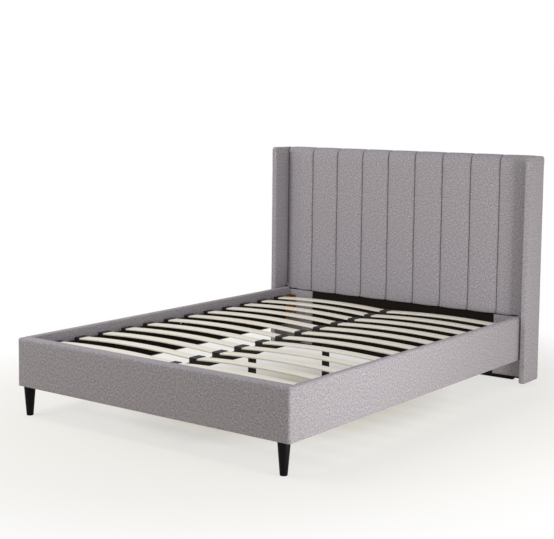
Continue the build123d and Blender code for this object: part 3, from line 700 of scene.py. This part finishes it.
def channel_blank(number, sizes):
    """The skin of one channel before it is sewn: a front, a turned top with a short back, and a foot."""
    low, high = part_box(f"headboard_channel_{number}")
    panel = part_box("headboard_panel")[0].y
    columns = 32
    clear_of_timbers = 2 * MM
    piece = add_block(f"channel_upholstery_{number}", low, high)

    def is_in_front(edge, height):
        """True for the long front edge at a height."""
        return (runs_along(edge, X) and abs(middle(edge).z - height) < TOUCH
                and middle(edge).y < low.y + TOUCH)

    remove_faces(piece, lambda face: faces_along(face, X) or faces_towards(face, (0, 1, 0)))
    round_edges(piece, sizes.top_roll, lambda edge: is_in_front(edge, high.z), segments=9)
    round_edges(piece, sizes.foot_roll, lambda edge: is_in_front(edge, low.z), segments=3)
    cut_at(piece, (0, panel, 0), (0, 1, 0))
    remove_faces(piece, lambda face: faces_towards(face, (0, 0, -1)) and face.calc_center_median().y > panel)
    fold = high.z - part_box("headboard_timbers")[1].z - clear_of_timbers
    edit(piece, "EDGE", lambda edge: runs_along(edge, X) and middle(edge).y > high.y - TOUCH,
         bpy.ops.mesh.extrude_region_move, TRANSFORM_OT_translate={"value": (0, 0, -fold)})
    divide(piece, X, columns)
    divide_by(piece, sizes.mesh_step, Z)
    return piece, low, high


def crowd_to_seams(piece, left, right):
    """Crowds the columns of points towards both seams, where the form turns fastest."""
    half = (right - left) / 2
    centre = (left + right) / 2
    crowding = 1.8

    def crowd(co, normal):
        """Spaces the columns by a power of their share of the way to the seam."""
        share = (co.x - centre) / half
        gap = half * max(0.0, 1 - abs(share)) ** crowding
        return Vector((centre + math.copysign(half - gap, share) - co.x, 0, 0))

    move_points(piece, crowd)


def seam_stray(seam, along, sizes):
    """How far a sewn seam strays sideways at a distance along it: a slow drift and a smaller quick one."""
    quick_share = 0.35
    slow = ripple((seam, along, 0.0), size=0.13, seed=5.0)
    quick = ripple((seam, along, 0.0), size=0.035, seed=8.0)
    return sizes.seam_stray * (slow + quick_share * quick)


def seam_gather(seam, along, sizes):
    """The gathers of the cloth along a seam, from 0 to 1."""
    apart = 3.1
    gathers_per_wave = 1.6
    size = sizes.pucker_pitch / gathers_per_wave
    return 0.5 + 0.5 * ripple((seam * apart, along, 0.0), size, seed=13.0)


def channel_cover(number, sizes):
    """One channel of the headboard: crowned, rolled and gathered into its seams, and turned over the top."""
    piece, low, high = channel_blank(number, sizes)
    left = low.x + (sizes.joint_gap if number == 1 else 0)
    right = high.x - (sizes.joint_gap if number == CHANNELS else 0)
    width = right - left
    crowd_to_seams(piece, left, right)
    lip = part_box("headboard_panel")[0].y - sizes.skin
    gather_reach = 14 * MM
    stray_reach = 20 * MM
    unevenness = 0.4 * MM
    calm_on_top = 0.6
    bulge = 0.3
    turn = high.z - sizes.top_roll
    lean_start = high.z - sizes.lean_height

    def over_top(co):
        """0 on the front, and 1 on the top of the headboard."""
        return clamp((co.z - turn) / sizes.top_roll)

    def lean(co):
        """How far the upper part leans back, less towards the back."""
        share = max(0.0, (co.z - lean_start) / sizes.lean_height)
        return sizes.top_lean * share * share * (high.y - co.y) / (high.y - low.y)

    def nearest(co):
        """The nearest seam, the distance from it, and whether it is the joint with a wing."""
        if co.x - left < right - co.x:
            return left, co.x - left, number == 1
        return right, right - co.x, number == CHANNELS

    def sew(co, normal):
        """Sinks the cover into its seams and gathers it there."""
        seam, gap, at_wing = nearest(co)
        along = co.z + co.y - low.y
        reach = sizes.joint_roll if at_wing else sizes.seam_roll
        depth = sizes.joint_depth if at_wing else sizes.seam_depth - sizes.crown
        near = max(0.0, 1 - gap / reach)
        roll = depth * (1 - math.sqrt(1 - near * near))
        crown = sizes.crown * (1 - min(1.0, 2 * gap / width)) ** 2
        calmer = 1 - calm_on_top * over_top(co)
        sunk = unevenness * ripple(co, size=0.07, seed=31.0 + number) * min(1.0, gap / stray_reach)
        stray = 0.0
        if at_wing:
            slope = max(0.0, 1 - gap / sizes.wing_roll_width)
            sunk += sizes.wing_roll_depth * slope * slope * (1 - over_top(co))
        else:
            gather = seam_gather(round(seam, 2), along, sizes) - bulge
            sunk += (crown + sizes.pucker * gather * fade(gap, gather_reach)) * calmer
            stray = seam_stray(round(seam, 2), along, sizes) * fade(gap, stray_reach)
        sunk += roll * calmer
        return -normal * sunk + Vector((stray, lean(co), 0))

    def is_held(co):
        """The seams, the parts behind the face and the foot."""
        return nearest(co)[1] < sizes.seam_roll / 2 or co.y > lip or co.z < low.z + sizes.skin

    move_points(piece, sew)
    swell(piece, is_held, sizes.channel_swell, sizes, grow=0.01)
    overlap = 2 * sizes.seam_stray
    room_left = left if number == 1 else left - overlap
    room_right = right if number == CHANNELS else right + overlap
    for vertex in piece.data.vertices:
        vertex.co.x = min(max(vertex.co.x, room_left), room_right)
        vertex.co.z = min(vertex.co.z, high.z)
    finish_mesh(piece, sizes.skin, sharpest=60)
    finish_piece(piece, *COVER, f"headboard_channel_{number}", fill=0.7)


def lower_pad(side_name, sizes):
    """One plain padded piece under the end of the channels."""
    low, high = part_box("headboard_lower_pads")
    side = SIDES[side_name]
    ends = sorted((side * lower_pad_inner(), side * high.x))
    piece = add_block("lower_pad_upholstery_" + side_name, (ends[0], low.y, low.z),
                      (ends[1], high.y, high.z))
    round_edges(piece, sizes.pad_edge, lambda edge: middle(edge).y < low.y + TOUCH, segments=3)
    divide_by(piece, sizes.mesh_step, X, Z)
    drawn_in = 1.6 * MM
    steepness = 6
    wave_height = 0.4 * MM
    centre = Vector(((ends[0] + ends[1]) / 2, 0, (low.z + high.z) / 2))
    half = Vector(((ends[1] - ends[0]) / 2, 1, (high.z - low.z) / 2))

    def ease(co, normal):
        """A low crown, drawn in towards all four edges."""
        if co.y > low.y + sizes.pad_edge:
            return Vector()
        off = max(abs(co.x - centre.x) / half.x, abs(co.z - centre.z) / half.z)
        wave = wave_height * ripple(co, size=0.05, seed=41.0)
        return Vector((0, drawn_in * off ** steepness + wave, 0))

    swell(piece, lambda co: co.y > low.y + sizes.pad_edge, sizes.rail_swell, sizes)
    move_points(piece, ease)
    finish_mesh(piece)
    finish_piece(piece, *COVER, "headboard_lower_pads", fill=0.8)


def lower_pad_inner():
    """How far from the centre line the lower pads begin."""
    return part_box("wing_cover_right")[0].x - LOWER_PAD_WIDTH


# Cloths


def flat_cloth(name, low, high, normal, step):
    """A flat grid of cloth: the one face of a block that looks along a direction."""
    piece = add_block(name, low, high)
    remove_faces(piece, lambda face: not faces_towards(face, normal))
    divide_by(piece, step, *(axis for axis in (X, Y, Z) if normal[axis] == 0))
    return piece


def back_cover(sizes):
    """Cloth stretched over the back of the headboard: it dips a little between the timbers."""
    low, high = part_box("headboard_back_cover")
    frame_low, frame_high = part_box("headboard_timbers")
    piece = flat_cloth("headboard_back_upholstery", low, high, (0, 1, 0), sizes.cloth_step)
    end_stile = (frame_high.x - STILE_WIDTH, frame_high.x)
    middle_stile = (MIDDLE_STILE_OFFSET - STILE_WIDTH / 2, MIDDLE_STILE_OFFSET + STILE_WIDTH / 2)
    bottom = frame_low.z + BOTTOM_TIMBER_HEIGHT
    top = frame_high.z - TOP_TIMBER_HEIGHT
    slope = 45 * MM
    dip_depth = 2.6 * MM
    pucker_depth = 0.35 * MM
    tucked = 2 * MM
    squeeze = 2.2
    thickness = 1.4 * MM

    def dip(co, normal):
        """Sinks into the bays between the timbers, puckers over them and is tucked under the wings."""
        off_stile = min(max(0.0, a - abs(co.x), abs(co.x) - b) for a, b in (end_stile, middle_stile))
        off_cross_piece = max(0.0, min(co.z - bottom, top - co.z))
        slack = 1 - fade(min(off_stile, off_cross_piece), slope)
        pull = pucker_depth * ripple((co.x * squeeze, 0, co.z), size=0.06, seed=53.0)
        tuck = tucked * co.x / high.x
        return Vector((tuck, -(dip_depth * slack + HAIR + pull * (1 - slack)), 0))

    move_points(piece, dip)
    finish_mesh(piece, thickness)
    finish_piece(piece, *COVER, "headboard_back_cover")


def headboard_lining():
    """Black cloth over the lower board, cut out where the padded pieces lie."""
    board_low, board_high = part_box("headboard_lower_board")
    pad_low, pad_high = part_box("headboard_lower_pads")
    inner = lower_pad_inner()
    piece = add_block("headboard_lining", (board_low.x, board_low.y - HAIR, board_low.z),
                      (board_high.x, board_low.y, board_high.z))
    remove_faces(piece, lambda face: not faces_towards(face, (0, -1, 0)))
    for x in (-inner, inner):
        cut_at(piece, (x, 0, 0), (1, 0, 0))
    for z in (pad_low.z, pad_high.z):
        cut_at(piece, (0, 0, z), (0, 0, 1))

    def is_between_strips(face):
        """True between the strip at the floor and the strip along the channels."""
        return pad_low.z < face.calc_center_median().z < pad_high.z

    remove_faces(piece, lambda face: is_between_strips(face) and abs(face.calc_center_median().x) > inner)
    cuts = 40
    edit(piece, "FACE", is_between_strips, bpy.ops.mesh.subdivide, number_cuts=cuts)
    calm = 10 * MM
    slack_depth = 1.2 * MM
    stretch = 0.6

    def ease(co, normal):
        """Slack ripples away from the cut edges."""
        inside = min(co.z - pad_low.z, pad_high.z - co.z, inner - abs(co.x))
        folds = abs(ripple((co.x, 0, co.z * stretch), size=0.09, seed=61.0))
        return Vector((0, -slack_depth * clamp(inside / calm) * folds, 0))

    move_points(piece, ease)
    finish_mesh(piece, HAIR)
    finish_piece(piece, *LINING, "dust_linings")


def inner_lining(name, low, high, normal, sizes):
    """One flat black cloth stapled to the inside of the frame, with slight ripples."""
    piece = flat_cloth(name, low, high, normal, sizes.cloth_step)
    slack_depth = 0.4 * MM
    inwards = Vector(normal)
    move_points(piece, lambda co, _: inwards * (-slack_depth * abs(ripple(co, size=0.08, seed=67.0))))
    finish_mesh(piece, 2 * HAIR)
    finish_piece(piece, *LINING, "dust_linings")


def inner_linings(sizes):
    """Black cloth on the inner faces of the rails and of the footboard, below the slats."""
    ledger_low, ledger_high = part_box("slat_ledgers")
    proud = 1.3 * MM
    clear_of_hem = 5 * MM
    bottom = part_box("side_rail_cover_left")[0].z + clear_of_hem
    rail_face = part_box("side_rail_cover_right")[0].x
    foot_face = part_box("footboard_cover")[1].y
    for side_name, side in SIDES.items():
        ends = sorted((side * rail_face, side * (rail_face - proud)))
        inner_lining("rail_lining_" + side_name, (ends[0], ledger_low.y, bottom),
                     (ends[1], ledger_high.y, ledger_low.z), (-side, 0, 0),
                     sizes)
    reach = rail_face - BRACKET_LEG - TOUCH
    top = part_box("beam_hangers")[0].z - TOUCH
    inner_lining("footboard_lining", (-reach, foot_face, bottom), (reach, foot_face + proud, top),
                 (0, 1, 0), sizes)


# Hard pieces


def slat_blank(side_name):
    """The first bowed slat of a column: rounded long edges, veneer faces and plied edges."""
    side = SIDES[side_name]
    low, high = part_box(f"slat_{side_name}_01")
    bow = high.z - low.z - SLAT_THICKNESS
    steps = 34
    steepest_veneer = 0.6
    piece = add_block("slat_blank", low, (high.x, high.y, low.z + SLAT_THICKNESS))
    round_edges(piece, SLAT_THICKNESS / 4, lambda edge: runs_along(edge, X), segments=3)
    divide(piece, X, steps)
    bow_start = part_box("centre_slat_holders")[1].x
    bow_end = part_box("side_slat_holders")[1].x - SIDE_HOLDER_LENGTH
    centre, half = side * (bow_start + bow_end) / 2, (bow_end - bow_start) / 2
    radius = (half * half + bow * bow) / (2 * bow)

    def bend(co, normal):
        """Bows the slat up along an arc between its holders."""
        off = min(abs(co.x - centre), half)
        return Vector((0, 0, math.sqrt(radius * radius - off * off) - (radius - bow)))

    move_points(piece, bend)
    finish_mesh(piece, sharpest=50)
    paint(piece, "birch_veneer", "birch_ply_edge")
    for face in piece.data.polygons:
        face.material_index = 1 if abs(face.normal.z) < steepest_veneer else 0
    return piece


def slats():
    """The sprung slats: one is modelled for each column and copied, each with its own grain."""
    row_shift, row_side_shift, column_shift = 0.83, 0.117, 7.0
    for side_name, side in SIDES.items():
        blank = slat_blank(side_name)
        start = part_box(f"slat_{side_name}_01")[0].y
        for row in range(1, SLAT_ROWS + 1):
            node = f"slat_{side_name}_{row:02d}"
            piece = copy_piece(blank, "birch_" + node, (0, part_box(node)[0].y - start, 0))
            grain_shift = Vector((row_shift * row + column_shift * side, row_side_shift * row))
            for loop in piece.data.uv_layers["UVMap"].data:
                loop.uv += grain_shift
            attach(piece, "root")
            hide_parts(node)
        bpy.data.objects.remove(blank)


def front_legs():
    """Round tapered front legs with an eased foot and a narrow shadow line under the footboard."""
    low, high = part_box("front_leg_left")
    foot_edge = 1.6 * MM
    top_edge = 1.0 * MM
    deselect()
    bpy.ops.mesh.primitive_cone_add(vertices=72, radius1=LEG_FOOT_RADIUS, radius2=(high.x - low.x) / 2,
                                    depth=high.z - low.z, location=(low + high) / 2)
    left = settle("tapered_leg_left")
    round_edges(left, foot_edge, lambda edge: middle(edge).z < low.z + TOUCH, segments=3)
    round_edges(left, top_edge, lambda edge: middle(edge).z > high.z - TOUCH, segments=2)
    finish_mesh(left, sharpest=35)
    right = copy_piece(left, "tapered_leg_right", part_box("front_leg_right")[0] - low)
    for side_name, piece in (("left", left), ("right", right)):
        finish_piece(piece, "satin_black_lacquer", "black_plastic", "front_leg_" + side_name)


def dress(material, easing, *names):
    """Gives hard nodes their material, and eases their edges if they have an easing."""
    for name in names:
        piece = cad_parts[name]
        paint(piece, material)
        adjust(piece.modifiers.new("Weld", "WELD"), merge_threshold=0.01 * MM)
        if easing > 0:
            adjust(piece.modifiers.new("Ease", "BEVEL"), width=easing, segments=2, limit_method="ANGLE",
                   angle_limit=math.radians(50))


def dress_nodes():
    """Materials for the hard nodes that stay as they are."""
    dress("moulded_polypropylene", 0.5 * MM, "side_slat_holders", "centre_slat_holders", "centre_leg_feet")
    dress("black_powder_coat", 0.6 * MM, "centre_beam", "centre_legs", "beam_hangers")
    dress("black_stained_pine", 1.2 * MM, "slat_ledgers", "headboard_runner")
    dress("raw_particle_board", 0.0, "footboard_board", "side_rail_board_left", "side_rail_board_right",
          "wing_boards", "headboard_panel", "headboard_lower_board")
    dress("planed_pine", 1.0 * MM, "headboard_timbers")
    dress("yellow_passivated_zinc", 0.5 * MM, "corner_brackets")
    dress("bright_zinc_plate", 0.0, "frame_bolts")


# Studio


def seen_directly(tree, *kinds):
    """A factor that is 1 for the kinds of ray that see the plain white background."""
    rays = add_node(tree, "LightPath").outputs
    factor = rays[kinds[0]]
    for kind in kinds[1:]:
        factor = add_node(tree, "Math", {0: factor, 1: rays[kind]}, operation="MAXIMUM")
    return factor


def studio_floor(look):
    """Pale seamless floor: it keeps the bed's shadow, and a painted white glow turns it plain white away
    from it.
    """
    bpy.ops.mesh.primitive_circle_add(vertices=96, radius=60.0, fill_type="NGON")
    floor = rename(bpy.context.object, "studio_floor")
    tree = new_tree("studio_floor")
    matt = add_node(tree, "BsdfDiffuse", {"Color": (*look.floor, 1.0)})
    white = add_node(tree, "Emission", {"Color": (1, 1, 1, 1), "Strength": 1.0})
    seen = seen_directly(tree, "Is Camera Ray", "Is Glossy Ray", "Is Transmission Ray")
    place = add_node(tree, "TexCoord").outputs["Object"]
    # How far out a point lies, as a share of three outlines of the bed, and the painted glow's share there
    reach = 3.0
    glow_shares = {0.4: 0.1, 0.9: 0.6, 1.6: 0.72, 2.3: 1.0}
    shares = (1 / (reach * CAD_BOX[1].x), 1 / (reach * CAD_BOX[1].y), 0.0)
    out = add_node(tree, "VectorMath", {0: place, 1: shares}, operation="MULTIPLY")
    far = add_node(tree, "VectorMath", {0: out}, operation="LENGTH").outputs["Value"]
    share = add_node(tree, "ValToRGB", {"Fac": far},
                     stops=[(outlines / reach, [glow_amount] * 3) for outlines, glow_amount in glow_shares.items()])
    # Rays that see the backdrop get that share as a painted white glow, and the rest as the lit floor with
    # its real shadow
    amount = add_node(tree, "Math", {0: seen, 1: share}, operation="MULTIPLY")
    mix = add_node(tree, "MixShader", {0: amount, 1: matt, 2: white})
    add_node(tree, "OutputMaterial", {"Surface": mix})
    paint(floor, "studio_floor")


def studio_world(look):
    """Even light from all round that the camera sees as plain white."""
    world = bpy.data.worlds.new("studio")
    bpy.context.scene.world = world
    world.use_nodes = True
    tree = world.node_tree
    tree.nodes.clear()
    seen = seen_directly(tree, "Is Camera Ray", "Is Transmission Ray")
    strength = add_node(tree, "MapRange", {"Value": seen, "To Min": look.ambient, "To Max": 1.0})
    back = add_node(tree, "Background", {"Color": (1, 1, 1, 1), "Strength": strength})
    add_node(tree, "OutputWorld", {"Surface": back})


def area_light(name, at, towards, size, watts):
    """One large soft lamp that looks at a point."""
    lamp = adjust(bpy.data.lights.new(name, "AREA"), shape="RECTANGLE", size=size[0], size_y=size[1],
                  energy=watts)
    turn = (Vector(towards) - Vector(at)).to_track_quat("-Z", "Y").to_euler()
    adjust(add_object(name, lamp), location=at, rotation_euler=turn)


def studio_lamps(look):
    """A key lamp and a top lamp that look at the headboard, and two lamps beside the right rail and wing."""
    headboard = (0.0, 0.7, 0.55)
    right_rail = (0.8, -0.5, 0.25)
    right_wing = (0.8, 0.5, 0.6)
    area_light("key", (-2.2, -2.9, 2.7), headboard, (1.5, 1.5), look.key)
    area_light("top", (-1.3, -1.3, 3.2), headboard, (1.5, 1.0), look.top)
    area_light("strip", (2.9, -0.7, 0.35), right_rail, (1.0, 0.4), look.strip)
    area_light("rear", (3.4, 2.0, 0.8), right_wing, (2.0, 1.2), look.rear)


def studio_camera(look):
    """The camera at the photograph's place and angle."""
    forward = Vector((-math.sin(look.azimuth) * math.cos(look.down),
                      math.cos(look.azimuth) * math.cos(look.down), -math.sin(look.down)))
    level = Vector((math.cos(look.azimuth), math.sin(look.azimuth), 0))
    upright = level.cross(forward)
    right = level * math.cos(look.roll) + upright * math.sin(look.roll)
    up = upright * math.cos(look.roll) - level * math.sin(look.roll)
    data = adjust(bpy.data.cameras.new("camera"), sensor_width=36.0, lens=look.lens, shift_y=look.rise,
                  clip_start=0.1, clip_end=200.0)
    camera = add_object("camera", data)
    turn = Matrix((right, up, -forward)).transposed()
    camera.matrix_world = Matrix.Translation(look.camera_at) @ turn.to_4x4()
    bpy.context.scene.camera = camera


# Operators, one for each piece or group of like pieces


class BED_OT_materials(bpy.types.Operator):
    """Make the finishes of the bed"""
    bl_idname = "bed.materials"
    bl_label = "Materials"

    def execute(self, context):
        # Each material has the name of the function that makes it
        for make in (melange_upholstery, spunbond_lining):
            make(new_tree(make.__name__), context.scene.bed_cloth)
        for make in (birch_veneer, birch_ply_edge, moulded_polypropylene, satin_black_lacquer,
                     black_powder_coat, yellow_passivated_zinc, bright_zinc_plate, black_stained_pine,
                     raw_particle_board, planed_pine):
            make(new_tree(make.__name__), context.scene.bed_hard)
        return {"FINISHED"}


class BED_OT_footboard(bpy.types.Operator):
    """Model the padded cover of the footboard"""
    bl_idname = "bed.footboard"
    bl_label = "Footboard cover"

    def execute(self, context):
        footboard_cover(context.scene.bed_covers)
        return {"FINISHED"}


class BED_OT_side_rails(bpy.types.Operator):
    """Model the padded covers of the two side rails"""
    bl_idname = "bed.side_rails"
    bl_label = "Side rail covers"

    def execute(self, context):
        for side_name in SIDES:
            rail_cover(side_name, context.scene.bed_covers)
        return {"FINISHED"}


class BED_OT_wings(bpy.types.Operator):
    """Model the padded covers of the two wings"""
    bl_idname = "bed.wings"
    bl_label = "Wing covers"

    def execute(self, context):
        for side_name in SIDES:
            wing_cover(side_name, context.scene.bed_covers)
        return {"FINISHED"}


class BED_OT_channels(bpy.types.Operator):
    """Model the sewn channels of the headboard"""
    bl_idname = "bed.channels"
    bl_label = "Headboard channels"

    def execute(self, context):
        for number in range(1, CHANNELS + 1):
            channel_cover(number, context.scene.bed_covers)
        return {"FINISHED"}


class BED_OT_lower_pads(bpy.types.Operator):
    """Model the padded pieces under the channels"""
    bl_idname = "bed.lower_pads"
    bl_label = "Lower pads"

    def execute(self, context):
        for side_name in SIDES:
            lower_pad(side_name, context.scene.bed_covers)
        return {"FINISHED"}


class BED_OT_cloths(bpy.types.Operator):
    """Model the cloth on the back and the black linings"""
    bl_idname = "bed.cloths"
    bl_label = "Back cloth and linings"

    def execute(self, context):
        back_cover(context.scene.bed_covers)
        headboard_lining()
        inner_linings(context.scene.bed_covers)
        return {"FINISHED"}


class BED_OT_slats(bpy.types.Operator):
    """Model the sprung slats"""
    bl_idname = "bed.slats"
    bl_label = "Slats"

    def execute(self, context):
        slats()
        return {"FINISHED"}


class BED_OT_front_legs(bpy.types.Operator):
    """Model the tapered front legs"""
    bl_idname = "bed.front_legs"
    bl_label = "Front legs"

    def execute(self, context):
        front_legs()
        return {"FINISHED"}


class BED_OT_hard_finishes(bpy.types.Operator):
    """Give the hard nodes their finishes"""
    bl_idname = "bed.hard_finishes"
    bl_label = "Hard finishes"

    def execute(self, context):
        dress_nodes()
        return {"FINISHED"}


class BED_OT_studio(bpy.types.Operator):
    """Set up the floor, the light and the camera"""
    bl_idname = "bed.studio"
    bl_label = "Studio"

    def execute(self, context):
        look = context.scene.bed_studio
        deselect()
        context.scene.view_settings.view_transform = "Standard"
        studio_floor(look)
        studio_world(look)
        studio_lamps(look)
        studio_camera(look)
        return {"FINISHED"}


OPERATORS = (BED_OT_materials, BED_OT_footboard, BED_OT_side_rails, BED_OT_wings, BED_OT_channels,
             BED_OT_lower_pads, BED_OT_cloths, BED_OT_slats, BED_OT_front_legs, BED_OT_hard_finishes,
             BED_OT_studio)
GROUPS = {"bed_covers": BedCoverSizes, "bed_cloth": BedClothLook, "bed_hard": BedHardLook,
          "bed_studio": BedStudio}


class BED_PT_panel(bpy.types.Panel):
    """Sizes, colours and the steps that build the bed"""
    bl_idname = "BED_PT_panel"
    bl_label = "Upholstered bed"
    bl_space_type = "VIEW_3D"
    bl_region_type = "UI"
    bl_category = "Bed"

    def draw(self, context):
        for name, group in GROUPS.items():
            box = self.layout.box()
            box.label(text=group.__doc__)
            for key in group.__annotations__:
                box.prop(getattr(context.scene, name), key)
        for operator in OPERATORS:
            self.layout.operator(operator.bl_idname)


CLASSES = (*GROUPS.values(), *OPERATORS, BED_PT_panel)


def register():
    """Registers the classes and hangs the settings on the scene."""
    for item in CLASSES:
        bpy.utils.register_class(item)
    for name, group in GROUPS.items():
        setattr(bpy.types.Scene, name, PointerProperty(type=group))


def unregister():
    """Takes the settings and the classes away again."""
    for name in GROUPS:
        delattr(bpy.types.Scene, name)
    for item in reversed(CLASSES):
        bpy.utils.unregister_class(item)


def main():
    """Builds the whole bed."""
    register()
    for operator in OPERATORS:
        getattr(bpy.ops.bed, operator.bl_idname.split(".")[1])()


if __name__ == "__main__":
    main()
